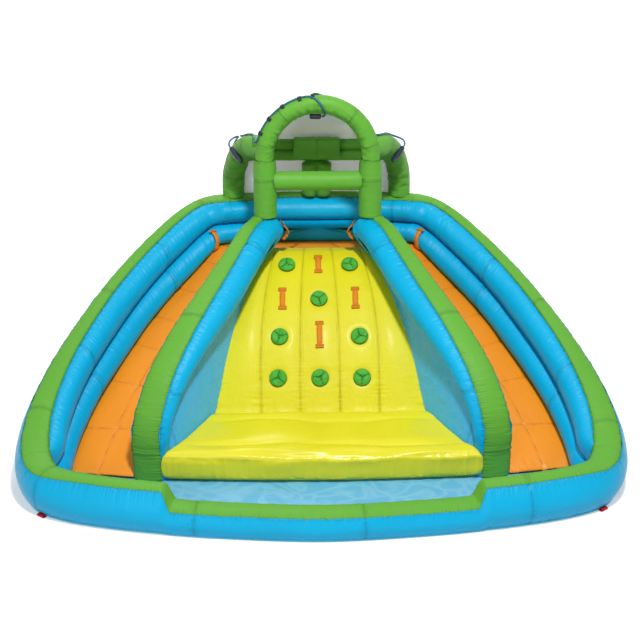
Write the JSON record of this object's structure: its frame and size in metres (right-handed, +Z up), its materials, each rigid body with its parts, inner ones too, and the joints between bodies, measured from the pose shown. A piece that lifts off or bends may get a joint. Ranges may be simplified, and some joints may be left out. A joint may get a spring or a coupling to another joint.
{
  "type": "inflatable water slide",
  "caption": "Inflatable water slide with a padded climbing wall between side lanes, a walled splash pool, and an arched spray tower over the deck.",
  "frame": {"origin": "centre of the bounding box in plan, on the ground under the base sheet", "axes": "+Z up, -Y towards the entrance of the pool, +X to the right as seen from the entrance"},
  "size_m": [4.8836, 3.8906, 2.7957],
  "materials": {
    "blue_fabric": "satin coated fabric",
    "green_fabric": "satin coated fabric",
    "orange_fabric": "satin coated fabric",
    "yellow_fabric": "satin coated fabric",
    "base_fabric": "smooth coated fabric",
    "net": "fine woven mesh",
    "webbing": "woven webbing",
    "loop_webbing": "woven webbing",
    "hold_fabric": "satin coated fabric",
    "dark_plastic": "matte moulded plastic",
    "hose_rubber": "smooth hose"
  },
  "bodies": {
    "slide": {"air_sleeve": "blue_fabric", "anchor_loop_left": "loop_webbing", "anchor_loop_right": "loop_webbing", "back_net": "net", "base_sheet": "base_fabric", "bolster": "green_fabric", "climb_hold_1": "hold_fabric", "climb_hold_2": "hold_fabric", "climb_hold_3": "hold_fabric", "climb_hold_4": "hold_fabric", "climb_hold_5": "hold_fabric", "climb_hold_6": "hold_fabric", "climb_hold_7": "hold_fabric", "climb_hold_8": "hold_fabric", "climb_strap_1": "webbing", "climb_strap_2": "webbing", "climb_strap_3": "webbing", "climb_strap_4": "webbing", "climb_wall": "yellow_fabric", "crossbar": "green_fabric", "deck": "orange_fabric", "deck_strap_left": "webbing", "deck_strap_right": "webbing", "divider_band_left": "green_fabric", "divider_band_right": "green_fabric", "divider_rib_left": "blue_fabric", "divider_rib_right": "blue_fabric", "divider_wall_left": "blue_fabric", "divider_wall_right": "blue_fabric", "front_arch": "green_fabric", "front_post_left": "green_fabric", "front_post_right": "green_fabric", "hose_arch": "hose_rubber", "hose_right": "hose_rubber", "hose_supply": "hose_rubber", "landing_pad": "yellow_fabric", "lane_left": "orange_fabric", "lane_right": "orange_fabric", "lane_strap_left": "webbing", "lane_strap_right": "webbing", "rear_beam": "green_fabric", "rear_post": "green_fabric", "rim_band_front": "green_fabric", "rim_band_left": "green_fabric", "rim_band_rear": "green_fabric", "rim_band_right": "green_fabric", "rim_ribs_left": "blue_fabric", "rim_ribs_rear": "blue_fabric", "rim_ribs_right": "blue_fabric", "rim_wall_front": "blue_fabric", "rim_wall_left": "blue_fabric", "rim_wall_rear": "blue_fabric", "rim_wall_right": "blue_fabric", "roof_net": "net", "side_arch_left": "green_fabric", "side_arch_right": "green_fabric"},
    "spray_left": {"spray_head_left": "dark_plastic"},
    "spray_right": {"spray_head_right": "dark_plastic"},
    "spray_centre": {"spray_head_centre": "dark_plastic"},
    "inlet_nut": {"coupling_nut": "dark_plastic"}
  },
  "joints": [
    {"name": "spray_left_aim", "type": "hinge", "parent": "slide", "child": "spray_left", "pos_m": [-0.73053, 1.07516, 2.16772], "axis": [0.6067, -0.247, -0.7556], "range_deg": [-40, 40]},
    {"name": "spray_right_aim", "type": "hinge", "parent": "slide", "child": "spray_right", "pos_m": [0.73053, 1.07516, 2.16772], "axis": [-0.6067, -0.247, -0.7556], "range_deg": [-40, 40]},
    {"name": "spray_centre_aim", "type": "hinge", "parent": "slide", "child": "spray_centre", "pos_m": [-0.02, 0.7785, 2.58197], "axis": [1, 0, 0], "range_deg": [-40, 40]},
    {"name": "inlet_nut_turn", "type": "hinge", "parent": "slide", "child": "inlet_nut", "pos_m": [-0.82051, 1.63583, 0.512], "axis": [0, 0, 1], "continuous": true}
  ]
}
